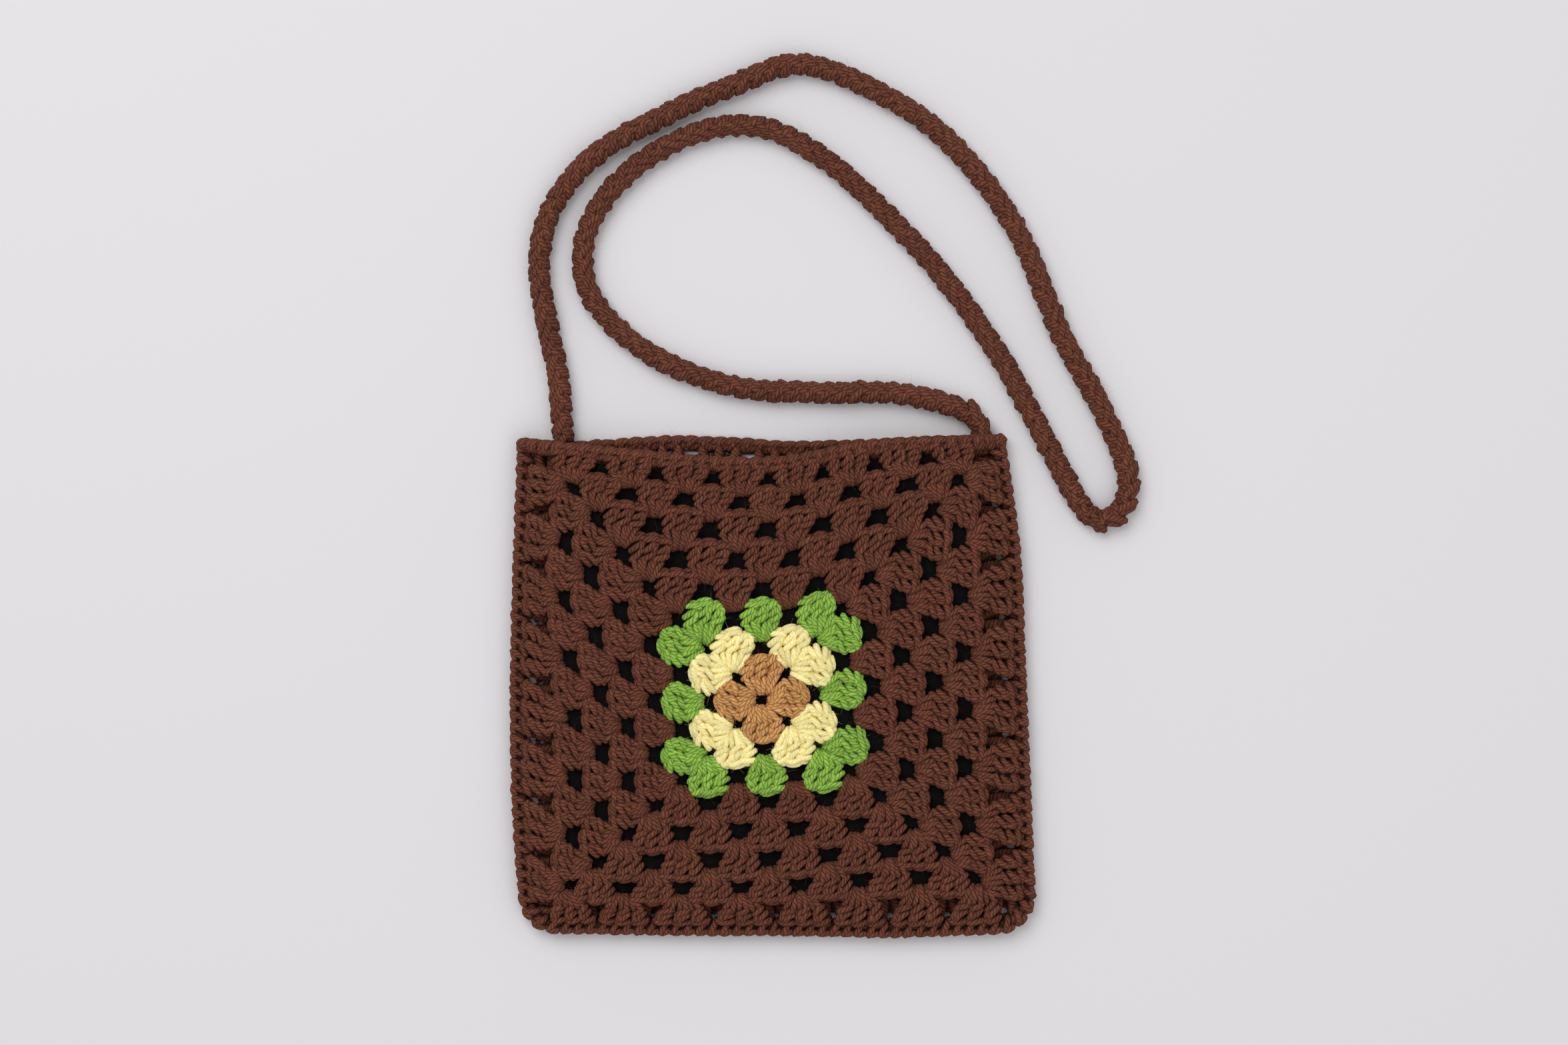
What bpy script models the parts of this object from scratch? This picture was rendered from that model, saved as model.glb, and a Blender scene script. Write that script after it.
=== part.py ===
"""A crocheted granny square purse, lying flat on its back on the surface it rests on.

Metres, +Z up. The front of the bag faces +Z and its mouth faces +Y. The origin is the middle of the bag's own
footprint at the height of the surface, without the strap. The front is a granny square: its clusters and gaps
alternate like the fields of a chess board, so both come from one grid of lines that the panel's shape bends.
"""
import math

import bmesh
import bpy
import numpy as np

# Sizes of the bag
BAG_WIDTH = 0.2237
BAG_HEIGHT = 0.2144
PANEL_THICKNESS = 0.0042
CLUSTER_CROWN = 0.0006
SEAM_WIDTH = 0.0048
RIM_WIDTH = 0.0032
CORNER_RADIUS = 0.011
ROUNDS = 8
GAP_WIDTH = 0.0062

# Sizes of the pocket and of the black lining in it
POCKET_DEPTH = 0.0056
POCKET_SHOULDER = 0.035
LINING_WALL = 0.001
LINING_INSET = 0.0145
LINING_BELOW_RIM = 0.006

# How far the back rim stands above the front rim, and where along the mouth, in shares of its half width
BACK_RIM_RISE = 0.0086
BACK_RIM_RISE_MIDDLE = -0.2
BACK_RIM_RISE_REACH = 0.75

# Sizes of the strap
STRAP_DIAMETER = 0.0094
STRAP_SIDES = 10
STRAP_POINTS_PER_STRETCH = 2

# Clearance between pieces that touch
CLEARANCE = 0.0003

# Number of cells across the lining
LINING_CELLS = 10

# The shape that the front panel has on the surface, a row for each level from mouth to foot. Each row gives seven
# places, far left to far right, in shares of half the bag's width and of half its height.
PANEL_COLUMNS = (-1.0, -0.8, -0.5, 0.0, 0.5, 0.8, 1.0)
PANEL_ROWS = (
    # level, across, along
    (1.0, (-0.925, -0.750, -0.484, -0.016, 0.397, 0.656, 0.831), (0.941, 0.920, 0.891, 0.866, 0.938, 0.951, 0.955)),
    (0.8, (-0.931, -0.758, -0.481, -0.020, 0.433, 0.699, 0.855), (0.777, 0.778, 0.746, 0.721, 0.780, 0.811, 0.794)),
    (0.5, (-0.940, -0.793, -0.513, -0.042, 0.405, 0.700, 0.887), (0.523, 0.489, 0.433, 0.420, 0.474, 0.508, 0.540)),
    (0.0, (-0.952, -0.758, -0.491, -0.046, 0.420, 0.724, 0.910), (0.028, -0.020, -0.065, -0.061, -0.002, 0.015, 0.018)),
    (-0.5, (-0.945, -0.757, -0.490, -0.020, 0.450, 0.728, 0.930),
     (-0.488, -0.528, -0.525, -0.507, -0.487, -0.479, -0.467)),
    (-0.8, (-0.927, -0.773, -0.492, -0.014, 0.481, 0.761, 0.941),
     (-0.763, -0.797, -0.806, -0.802, -0.766, -0.769, -0.752)),
    (-1.0, (-0.913, -0.754, -0.504, 0.011, 0.472, 0.757, 0.948),
     (-0.941, -0.944, -0.949, -0.952, -0.958, -0.949, -0.941)),
)

# The middle line of the strap on the surface, chosen point by point from one top corner of the bag to the other
STRAP_ROUTE = (
    (-0.0893, 0.1058),
    (-0.0915, 0.1319),
    (-0.0973, 0.1608),
    (-0.0995, 0.1843),
    (-0.0924, 0.2068),
    (-0.0744, 0.2272),
    (-0.0446, 0.2439),
    (-0.0175, 0.2556),
    (0.0096, 0.2648),
    (0.0349, 0.2579),
    (0.0656, 0.2402),
    (0.0908, 0.2141),
    (0.1080, 0.1861),
    (0.1224, 0.1509),
    (0.1396, 0.1193),
    (0.1504, 0.0940),
    (0.1504, 0.0787),
    (0.1409, 0.0705),
    (0.1309, 0.0774),
    (0.1161, 0.1048),
    (0.0963, 0.1409),
    (0.0710, 0.1762),
    (0.0403, 0.2086),
    (0.0150, 0.2291),
    (-0.0103, 0.2388),
    (-0.0391, 0.2330),
    (-0.0662, 0.2141),
    (-0.0801, 0.1897),
    (-0.0762, 0.1641),
    (-0.0518, 0.1413),
    (-0.0175, 0.1279),
    (0.0186, 0.1251),
    (0.0529, 0.1247),
    (0.0765, 0.1193),
    (0.0858, 0.1146),
    (0.0888, 0.1092),
)

# A rounded edge bar, seen along its length, a row for each corner: how far out and how high it stands
BAR_SECTION = (
    # out, up
    (0.0, 0.0),
    (0.6, 0.0),
    (1.0, 0.28),
    (1.0, 0.72),
    (0.6, 1.0),
    (0.0, 1.0),
)

# Yarn and cloth colours, in linear light, with how rough each one is
FINISHES = {
    # name: colour, roughness
    "brown_yarn": ((0.063, 0.020, 0.012), 0.95),
    "tan_yarn": ((0.397, 0.178, 0.055), 0.95),
    "yellow_yarn": ((0.781, 0.672, 0.246), 0.95),
    "green_yarn": ((0.178, 0.332, 0.045), 0.95),
    "black_cloth": ((0.006, 0.005, 0.005), 0.90),
}

# Sizes that follow from the ones above
PANEL_HALF_WIDTH = BAG_WIDTH / 2 - SEAM_WIDTH - CLEARANCE
PANEL_HALF_HEIGHT = (BAG_HEIGHT - SEAM_WIDTH - RIM_WIDTH) / 2 - CLEARANCE
PANEL_MIDDLE = (SEAM_WIDTH - RIM_WIDTH) / 2
ROUND_PITCH = (PANEL_HALF_WIDTH + PANEL_HALF_HEIGHT + GAP_WIDTH) / (2 * (ROUNDS + 1))
HALF_GAP = GAP_WIDTH / 2 / ROUND_PITCH
PANEL_REACH = ROUNDS + 1 - HALF_GAP
PANEL_SPACE = POCKET_DEPTH + 2 * (LINING_WALL + CLEARANCE)
SEAM_HEIGHT = 2 * PANEL_THICKNESS + CLEARANCE
LAST_CELL = 2 * ROUNDS + 1


def clear_scene():
    """Remove every object, so that only the purse is left."""
    for thing in list(bpy.data.objects):
        bpy.data.objects.remove(thing, do_unlink=True)


def make_finish(name):
    """Make the material of one yarn or cloth."""
    colour, roughness = FINISHES[name]
    finish = bpy.data.materials.new(name)
    finish.use_nodes = True
    shader = finish.node_tree.nodes["Principled BSDF"]
    shader.inputs["Base Color"].default_value = (*colour, 1.0)
    shader.inputs["Roughness"].default_value = roughness
    shader.inputs["Metallic"].default_value = 0.0
    return finish


def smooth_through(places, values, place):
    """Read a smooth curve that goes through the values at their places, and on in a straight line past its ends."""
    places = np.asarray(places, dtype=float)
    values = np.asarray(values, dtype=float)
    order = np.argsort(places)
    places = places[order]
    values = values[order]
    slopes = np.gradient(values, places, axis=0)
    inside = float(np.clip(place, places[0], places[-1]))
    start = int(np.clip(np.searchsorted(places, inside) - 1, 0, len(places) - 2))
    step = places[start + 1] - places[start]
    t = (inside - places[start]) / step
    curve = ((1 + 2 * t) * (1 - t) ** 2 * values[start]
             + t * (1 - t) ** 2 * step * slopes[start]
             + t * t * (3 - 2 * t) * values[start + 1]
             - t * t * (1 - t) * step * slopes[start + 1])
    end_slope = slopes[0] if place < places[0] else slopes[-1]
    return curve + end_slope * (place - inside)


def round_off(across, along):
    """Pull a place near a foot corner of the square panel in, so that the corner is a quarter circle."""
    reach_across = CORNER_RADIUS / PANEL_HALF_WIDTH
    reach_along = CORNER_RADIUS / PANEL_HALF_HEIGHT
    past_across = (abs(across) - 1 + reach_across) / reach_across
    past_along = (-along - 1 + reach_along) / reach_along
    if past_across <= 0 or past_along <= 0:
        return across, along
    drawn_across = past_across * math.sqrt(max(0.0, 1 - past_along ** 2 / 2))
    drawn_along = past_along * math.sqrt(max(0.0, 1 - past_across ** 2 / 2))
    return (math.copysign(1 - reach_across + drawn_across * reach_across, across),
            -(1 - reach_along + drawn_along * reach_along))


def bent_shares(across, along):
    """Bend a place of the square panel to the shape that the panel has on the surface, still in shares."""
    across, along = round_off(across, along)
    levels = [row[0] for row in PANEL_ROWS]
    rows = [(smooth_through(PANEL_COLUMNS, row[1], across), smooth_through(PANEL_COLUMNS, row[2], across))
            for row in PANEL_ROWS]
    return smooth_through(levels, rows, along)


def grid_line(cell):
    """Give the place of the line on the right of a cell, in rounds. Even cells are the gap wide."""
    if cell % 2 == 0:
        return cell / 2 + HALF_GAP
    return (cell + 1) / 2 - HALF_GAP


def edge_lines():
    """Give the shares of all the grid lines from one edge of the panel to the other."""
    return [grid_line(cell) / PANEL_REACH for cell in range(-LAST_CELL - 1, LAST_CELL + 1)]


def bent_extent():
    """Give the lowest and highest shares of the bent panel, so that its size comes out as named."""
    shares = []
    for line in edge_lines():
        for across, along in ((line, 1.0), (line, -1.0), (1.0, line), (-1.0, line)):
            shares.append(bent_shares(across, along))
    return np.min(shares, axis=0), np.max(shares, axis=0)


BENT_LOW, BENT_HIGH = bent_extent()


def panel_place(across, along):
    """Give the place on the surface of a point of the front panel, in metres."""
    shares = 2 * (bent_shares(across, along) - BENT_LOW) / (BENT_HIGH - BENT_LOW) - 1
    return np.array((shares[0] * PANEL_HALF_WIDTH, PANEL_MIDDLE + shares[1] * PANEL_HALF_HEIGHT))


def back_rise(across, along):
    """Give how far a point of the back panel lies above the same point of the front panel, towards the mouth."""
    past = (across - BACK_RIM_RISE_MIDDLE) / BACK_RIM_RISE_REACH
    if abs(past) >= 1:
        return 0.0
    return BACK_RIM_RISE * (1 - past * past) ** 2 * (1 + along) / 2


def back_place(across, along):
    """Give the place on the surface of a point of the back panel."""
    return panel_place(across, along) + np.array((0.0, back_rise(across, along)))


def shoulder(distance):
    """Give how far open the pocket is at a distance from a closed edge, from 0 at the edge to 1."""
    share = min(max(distance / POCKET_SHOULDER, 0.0), 1.0)
    return math.sqrt(1 - (1 - share) ** 2)


def front_underside(across, along):
    """Give the height of the front panel's inner face: near the back panel at the edges, raised in the middle."""
    side = shoulder((1 - abs(across)) * PANEL_HALF_WIDTH)
    foot = shoulder((1 + along) * PANEL_HALF_HEIGHT)
    return PANEL_THICKNESS + CLEARANCE + (PANEL_SPACE - CLEARANCE) * side * foot


def add_solid(name, corners, faces, finish, smooth=False):
    """Make one closed solid of the purse from its corners and faces."""
    mesh = bpy.data.meshes.new(name)
    mesh.from_pydata([tuple(corner) for corner in corners], [], faces)
    shell = bmesh.new()
    shell.from_mesh(mesh)
    bmesh.ops.recalc_face_normals(shell, faces=shell.faces)
    shell.to_mesh(mesh)
    shell.free()
    if smooth:
        mesh.shade_smooth()
        mesh.set_sharp_from_angle(angle=math.radians(50))
    mesh.materials.append(finish)
    piece = bpy.data.objects.new(name, mesh)
    bpy.context.scene.collection.objects.link(piece)
    return piece


def is_cluster(point):
    """Tell whether a grid point is the middle of a cluster. The other points are the gaps between clusters."""
    return (point[0] + point[1]) % 2 != 0


def round_of(point):
    """Give the round of the granny square that a grid point lies in."""
    return max(abs(point[0]), abs(point[1]))


def owner_of(point):
    """Name the piece that a cluster belongs to, by its round and its corner of the square."""
    level = round_of(point)
    if level <= 1:
        return "flower_centre"
    if level > 3:
        return "front_field"
    corner = 1 + (point[0] < 0) + 2 * (point[1] < 0)
    if level == 2:
        return f"petal_pair_{corner}"
    if point[0] == 0:
        return "leaf_single_1" if point[1] > 0 else "leaf_single_3"
    if point[1] == 0:
        return "leaf_single_2" if point[0] > 0 else "leaf_single_4"
    return f"leaf_pair_{corner}"


def points_beside(cell):
    """Give the whole numbers on both sides of a cell's middle, or the one that it stands on."""
    if cell % 2 == 0:
        return (cell // 2,)
    return ((cell - 1) // 2, (cell + 1) // 2)


def clusters_of(column, row):
    """List the clusters that a cell of the grid is part of."""
    around = [(x, y) for x in points_beside(column) for y in points_beside(row)]
    return [point for point in around if is_cluster(point)]


def is_gap(column, row):
    """Tell whether a cell is cut through: the gaps of every round but the last, which has no room for one."""
    if column % 2 or row % 2:
        return False
    point = (column // 2, row // 2)
    return not is_cluster(point) and round_of(point) < ROUNDS


def cell_pieces(column, row):
    """Share a cell of the grid out to the pieces that it belongs to, each with its corners in order."""
    left, right, low, high = column - 1, column, row - 1, row
    square = [(left, low), (right, low), (right, high), (left, high)]
    owners = clusters_of(column, row)
    if not owners:
        return [("front_field", square)]
    names = [owner_of(point) for point in owners]
    if len(set(names)) == 1:
        return [(names[0], square)]
    shares = []
    for point, name in zip(owners, names):
        near_x = right if 2 * point[0] > column else left
        near_y = high if 2 * point[1] > row else low
        far = (left if near_x == right else right, low if near_y == high else high)
        shares.append((name, [corner for corner in square if corner != far]))
    return shares


def parting(line_x, line_y, name):
    """Move a corner where two colours meet by half the clearance, away from the other colour."""
    cell_x = line_x if line_x % 2 == 0 else line_x + 1
    cell_y = line_y if line_y % 2 == 0 else line_y + 1
    point = (cell_x // 2, cell_y // 2)
    if is_cluster(point):
        return np.zeros(2)
    out_x = 1 if line_x == cell_x else -1
    out_y = 1 if line_y == cell_y else -1
    beside = owner_of((point[0] + out_x, point[1]))
    above = owner_of((point[0], point[1] + out_y))
    if beside == above:
        return np.zeros(2)
    step = np.array((out_x, -out_y)) * CLEARANCE / 2 / math.sqrt(2)
    return step if name == beside else -step


def crown_at(line_x, line_y):
    """Give how much the outer face stands proud at a corner: the middle of each cluster is thickest."""
    cell_x = line_x if line_x % 2 == 0 else line_x + 1
    cell_y = line_y if line_y % 2 == 0 else line_y + 1
    return CLUSTER_CROWN if is_cluster((cell_x // 2, cell_y // 2)) else 0.0


def front_corner(line_x, line_y, name):
    """Give the lower and the upper end of a corner of the front panel."""
    across = grid_line(line_x) / PANEL_REACH
    along = grid_line(line_y) / PANEL_REACH
    x, y = panel_place(across, along) + parting(line_x, line_y, name)
    under = front_underside(across, along)
    return (x, y, under), (x, y, under + PANEL_THICKNESS + crown_at(line_x, line_y))


def plate_from(name, flats, ends_of, finish):
    """Build a plate from flat cells: an upper and a lower face for each, and a wall along each open edge."""
    numbers = {}
    corners = []
    for flat in flats:
        for corner in flat:
            if corner not in numbers:
                numbers[corner] = len(corners)
                corners.extend(ends_of(corner))
    faces = []
    edges = {}
    for flat in flats:
        lower = [numbers[corner] for corner in flat]
        faces.append([number + 1 for number in lower])
        faces.append(lower[::-1])
        for first, second in zip(lower, lower[1:] + lower[:1]):
            edges[(first, second)] = edges.get((first, second), 0) + 1
    for first, second in edges:
        if (second, first) not in edges:
            faces.append([first, second, second + 1, first + 1])
    return add_solid(name, corners, faces, finish)


def build_front(finishes):
    """Build the granny square, a piece for each part of the flower and one for the brown field round it."""
    shares = {}
    for column in range(-LAST_CELL, LAST_CELL + 1):
        for row in range(-LAST_CELL, LAST_CELL + 1):
            if is_gap(column, row):
                continue
            for name, flat in cell_pieces(column, row):
                shares.setdefault(name, []).append(flat)
    yarns = {"flower": "tan_yarn", "petal": "yellow_yarn", "leaf": "green_yarn", "front": "brown_yarn"}
    for name in sorted(shares):
        finish = finishes[yarns[name.split("_")[0]]]
        plate_from(name, shares[name], lambda corner, owner=name: front_corner(*corner, owner), finish)


def side_route(place):
    """Give the panel's closed edge, down the left side, along the foot and up the right side."""
    lines = edge_lines()
    shares = [(-1.0, line) for line in reversed(lines)]
    shares += [(line, -1.0) for line in lines[1:]]
    shares += [(1.0, line) for line in lines[1:]]
    return np.array([place(across, along) for across, along in shares])


def outward(route):
    """Give the level direction that points away from the panel at each point of an edge, left of its way."""
    ahead = np.gradient(route, axis=0)
    ahead /= np.linalg.norm(ahead, axis=1)[:, None]
    return np.stack((ahead[:, 1], -ahead[:, 0]), axis=1)


def add_bar(name, route, out, width, bottoms, height, finish):
    """Run the rounded edge bar along a route, with the clearance between it and the panel that it edges."""
    sides = len(BAR_SECTION)
    corners = []
    for place, away, bottom in zip(route, out, bottoms):
        for share_out, share_up in BAR_SECTION:
            x, y = place + away * (CLEARANCE + share_out * width)
            corners.append((x, y, bottom + share_up * height))
    faces = [list(range(sides)), list(range(len(corners) - sides, len(corners)))]
    for ring in range(len(route) - 1):
        for side in range(sides):
            follow = (side + 1) % sides
            here = ring * sides
            faces.append([here + side, here + follow, here + sides + follow, here + sides + side])
    return add_solid(name, corners, faces, finish, smooth=True)


def build_back(finish):
    """Build the back panel, one flat plate with the outline of the joined edges and its own mouth edge."""
    lines = edge_lines()
    outline = list(side_route(back_place))
    outline += [back_place(line, 1.0) for line in reversed(lines[1:-1])]
    count = len(outline)
    corners = [(x, y, height) for height in (0.0, PANEL_THICKNESS) for x, y in outline]
    faces = [list(range(count)), list(range(2 * count - 1, count - 1, -1))]
    faces += [[spot, (spot + 1) % count, (spot + 1) % count + count, spot + count] for spot in range(count)]
    return add_solid("back_panel", corners, faces, finish)


def rim_route(place):
    """Give a mouth edge from right to left, run on over the ends of the side seam."""
    route = [place(line, 1.0) for line in reversed(edge_lines())]
    run_on = np.array((SEAM_WIDTH + CLEARANCE, 0.0))
    return np.array([route[0] + run_on, *route, route[-1] - run_on])


def build_edges(finish):
    """Build the joining row round sides and foot, and the edge rows of the mouth."""
    sides = side_route(panel_place)
    away = outward(sides)
    away[0] = (-1.0, 0.0)
    away[-1] = (1.0, 0.0)
    add_bar("side_seam", sides, away, SEAM_WIDTH, [0.0] * len(sides), SEAM_HEIGHT, finish)
    lines = [1.0, *reversed(edge_lines()), -1.0]
    front = rim_route(panel_place)
    heights = [front_underside(line, 1.0) for line in lines]
    add_bar("front_rim", front, outward(front), RIM_WIDTH, heights, PANEL_THICKNESS, finish)
    back = rim_route(back_place)
    add_bar("back_rim", back, outward(back), RIM_WIDTH, [0.0] * len(back), PANEL_THICKNESS, finish)


def lining_skin(inset, lower, above, mouth):
    """Give the corners of one skin of the lining: a lower and an upper sheet, as far from its edge as said."""
    side = 1 - (LINING_INSET + inset) / PANEL_HALF_WIDTH
    foot = -1 + (LINING_INSET + inset) / PANEL_HALF_HEIGHT
    corners = []
    for row in range(LINING_CELLS + 1):
        along = foot + (mouth - foot) * row / LINING_CELLS
        for column in range(LINING_CELLS + 1):
            across = side * (2 * column / LINING_CELLS - 1)
            x, y = panel_place(across, along)
            corners.append((x, y, lower))
            corners.append((x, y, front_underside(across, along) - above))
    return corners


def build_lining(finish):
    """Build the lining, a flat pocket of black cloth with its mouth open towards +Y."""
    mouth = 1 - LINING_BELOW_RIM / PANEL_HALF_HEIGHT
    lower = PANEL_THICKNESS + CLEARANCE
    outer = lining_skin(0.0, lower, CLEARANCE, mouth)
    inner = lining_skin(LINING_WALL, lower + LINING_WALL, CLEARANCE + LINING_WALL, mouth)
    shift = len(outer)
    wide = LINING_CELLS + 1

    def number(column, row, upper, skin):
        return 2 * (row * wide + column) + upper + skin * shift

    faces = []
    for skin in (0, 1):
        for row in range(LINING_CELLS):
            for column in range(LINING_CELLS):
                for upper in (0, 1):
                    faces.append([number(column, row, upper, skin), number(column + 1, row, upper, skin),
                                  number(column + 1, row + 1, upper, skin), number(column, row + 1, upper, skin)])
            for column in (0, LINING_CELLS):
                faces.append([number(column, row, 0, skin), number(column, row + 1, 0, skin),
                              number(column, row + 1, 1, skin), number(column, row, 1, skin)])
        for column in range(LINING_CELLS):
            faces.append([number(column, 0, 0, skin), number(column + 1, 0, 0, skin),
                          number(column + 1, 0, 1, skin), number(column, 0, 1, skin)])
    top = LINING_CELLS
    for upper in (0, 1):
        for column in range(LINING_CELLS):
            faces.append([number(column, top, upper, 0), number(column + 1, top, upper, 0),
                          number(column + 1, top, upper, 1), number(column, top, upper, 1)])
    for column in (0, LINING_CELLS):
        faces.append([number(column, top, 0, 0), number(column, top, 1, 0),
                      number(column, top, 1, 1), number(column, top, 0, 1)])
    return add_solid("lining", outer + inner, faces, finish)


def strap_points():
    """Read the strap's middle line from a smooth curve through its route, level on the surface."""
    route = np.array(STRAP_ROUTE)
    steps = np.linalg.norm(np.diff(route, axis=0), axis=1)
    places = np.concatenate(((0.0,), np.cumsum(steps)))
    points = []
    for start, step in zip(places, steps):
        for part in range(STRAP_POINTS_PER_STRETCH):
            points.append(smooth_through(places, route, start + step * part / STRAP_POINTS_PER_STRETCH))
    points.append(route[-1])
    return [(x, y, STRAP_DIAMETER / 2) for x, y in points]


def build_strap(finish):
    """Build the strap, a round crocheted cord that lies on the surface from corner to corner."""
    points = strap_points()
    curve = bpy.data.curves.new("strap", "CURVE")
    curve.dimensions = "3D"
    curve.bevel_depth = STRAP_DIAMETER / 2
    curve.bevel_resolution = (STRAP_SIDES - 4) // 2
    curve.use_fill_caps = True
    line = curve.splines.new("POLY")
    line.points.add(len(points) - 1)
    for point, place in zip(line.points, points):
        point.co = (*place, 1.0)
    line.use_smooth = True
    curve.materials.append(finish)
    piece = bpy.data.objects.new("strap", curve)
    bpy.context.scene.collection.objects.link(piece)
    return piece


def main():
    """Build the whole purse."""
    clear_scene()
    finishes = {name: make_finish(name) for name in FINISHES}
    build_front(finishes)
    build_back(finishes["brown_yarn"])
    build_edges(finishes["brown_yarn"])
    build_lining(finishes["black_cloth"])
    build_strap(finishes["brown_yarn"])


main()
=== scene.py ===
"""The looks of the crocheted granny square purse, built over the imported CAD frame.

Lengths are metres in the row frame. The front is a granny square. Its lattice has a cluster of three double
crochets where the sum of the two whole coordinates is odd, and a gap where it is even.
"""

import logging
import math
from dataclasses import dataclass, field
from enum import Enum
from functools import cache

import bpy
import numpy as np
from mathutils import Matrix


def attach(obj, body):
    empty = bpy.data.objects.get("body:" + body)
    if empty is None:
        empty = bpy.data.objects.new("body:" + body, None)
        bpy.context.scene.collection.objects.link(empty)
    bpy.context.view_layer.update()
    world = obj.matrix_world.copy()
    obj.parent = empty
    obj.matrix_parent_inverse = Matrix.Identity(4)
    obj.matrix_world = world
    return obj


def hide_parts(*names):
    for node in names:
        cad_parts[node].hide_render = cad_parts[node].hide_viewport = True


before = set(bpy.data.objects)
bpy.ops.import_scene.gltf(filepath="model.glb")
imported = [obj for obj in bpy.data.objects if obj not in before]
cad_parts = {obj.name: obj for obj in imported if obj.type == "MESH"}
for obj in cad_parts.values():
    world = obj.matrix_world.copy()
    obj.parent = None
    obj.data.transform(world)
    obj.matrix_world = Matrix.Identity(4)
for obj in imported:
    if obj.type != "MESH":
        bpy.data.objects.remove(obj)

logging.basicConfig(level=logging.INFO, format="%(levelname)s %(message)s")
LOG = logging.getLogger("purse")

# Lengths that the CAD part uses too.
BAG_WIDTH = 0.2237
BAG_HEIGHT = 0.2144
PANEL_THICKNESS = 0.0042
SEAM_WIDTH = 0.0048
RIM_WIDTH = 0.0032
CORNER_RADIUS = 0.011
ROUNDS = 8
GAP_WIDTH = 0.0062
POCKET_DEPTH = 0.0056
POCKET_SHOULDER = 0.035
LINING_WALL = 0.001
LINING_INSET = 0.0145
LINING_BELOW_RIM = 0.006
BACK_RIM_RISE = 0.0086
BACK_RIM_RISE_MIDDLE = -0.2
BACK_RIM_RISE_REACH = 0.75
STRAP_DIAMETER = 0.0094
CLEARANCE = 0.0003

# How the square is pulled out of shape: for a few places on the flat square, where the photo shows them.
PANEL_PLACES = np.array((-1.0, -0.8, -0.5, 0.0, 0.5, 0.8, 1.0))
PANEL_ACROSS = np.array((
    (-0.913, -0.754, -0.504, 0.011, 0.472, 0.757, 0.948),
    (-0.927, -0.773, -0.492, -0.014, 0.481, 0.761, 0.941),
    (-0.945, -0.757, -0.490, -0.020, 0.450, 0.728, 0.930),
    (-0.952, -0.758, -0.491, -0.046, 0.420, 0.724, 0.910),
    (-0.940, -0.793, -0.513, -0.042, 0.405, 0.700, 0.887),
    (-0.931, -0.758, -0.481, -0.020, 0.433, 0.699, 0.855),
    (-0.925, -0.750, -0.484, -0.016, 0.397, 0.656, 0.831),
))
PANEL_ALONG = np.array((
    (-0.941, -0.944, -0.949, -0.952, -0.958, -0.949, -0.941),
    (-0.763, -0.797, -0.806, -0.802, -0.766, -0.769, -0.752),
    (-0.488, -0.528, -0.525, -0.507, -0.487, -0.479, -0.467),
    (0.028, -0.020, -0.065, -0.061, -0.002, 0.015, 0.018),
    (0.523, 0.489, 0.433, 0.420, 0.474, 0.508, 0.540),
    (0.777, 0.778, 0.746, 0.721, 0.780, 0.811, 0.794),
    (0.941, 0.920, 0.891, 0.866, 0.938, 0.951, 0.955),
))

# The middle line of the strap, seen from above.
STRAP_ROUTE = np.array((
    (-0.0893, 0.1058), (-0.0915, 0.1319), (-0.0973, 0.1608), (-0.0995, 0.1843), (-0.0924, 0.2068),
    (-0.0744, 0.2272), (-0.0446, 0.2439), (-0.0175, 0.2556), (0.0096, 0.2648), (0.0349, 0.2579),
    (0.0656, 0.2402), (0.0908, 0.2141), (0.1080, 0.1861), (0.1224, 0.1509), (0.1396, 0.1193),
    (0.1504, 0.0940), (0.1504, 0.0787), (0.1409, 0.0705), (0.1309, 0.0774), (0.1161, 0.1048),
    (0.0963, 0.1409), (0.0710, 0.1762), (0.0403, 0.2086), (0.0150, 0.2291), (-0.0103, 0.2388),
    (-0.0391, 0.2330), (-0.0662, 0.2141), (-0.0801, 0.1897), (-0.0762, 0.1641), (-0.0518, 0.1413),
    (-0.0175, 0.1279), (0.0186, 0.1251), (0.0529, 0.1247), (0.0765, 0.1193), (0.0858, 0.1146),
    (0.0888, 0.1092),
))

PANEL_HALF_WIDTH = BAG_WIDTH / 2 - SEAM_WIDTH - CLEARANCE
PANEL_HALF_HEIGHT = (BAG_HEIGHT - SEAM_WIDTH - RIM_WIDTH) / 2 - CLEARANCE
PANEL_MIDDLE = (SEAM_WIDTH - RIM_WIDTH) / 2
ROUND_PITCH = (PANEL_HALF_WIDTH + PANEL_HALF_HEIGHT + GAP_WIDTH) / (2 * (ROUNDS + 1))
HALF_GAP = GAP_WIDTH / 2 / ROUND_PITCH
PANEL_REACH = ROUNDS + 1 - HALF_GAP
PANEL_SPACE = POCKET_DEPTH + 2 * (LINING_WALL + CLEARANCE)
LAST_CELL = 2 * ROUNDS + 1

MILLIMETRE = 0.001
YARN_RADIUS = 0.00140
YARN_EVENNESS = (0.92, 1.08)
# How thick the ring beside a strand's end is, without taper and for a whole one.
BESIDE_END = (0.65, 0.55)

# Where the yarn's middle lies in the two walls, and how much flatter the back is.
FRONT_MIDDLE = 0.56 * PANEL_THICKNESS
BACK_MIDDLE = 0.0026
BACK_RELIEF = 0.72

# The levels on a post at which a cluster's fan is known, and the step its slope is taken over.
POST_LEVELS = np.array((0.0, 0.62, 1.0))
SLOPE_STEP = 0.01
OUTER_POST_DROP = 0.25 * MILLIMETRE

# How far stitches stray: along and outwards in lattice units, and all the rest in metres.
STITCH_STRAY = (0.012, 0.010, 0.16 * MILLIMETRE)
EDGE_STRAY = 0.16 * MILLIMETRE
STRAP_STRAY = 0.18 * MILLIMETRE

EDGE_POINTS = 60
RIM_RUN = 0.4 * SEAM_WIDTH
STRAP_SINK = 0.6 * MILLIMETRE
SENSOR_WIDTH = 36.0

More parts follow.
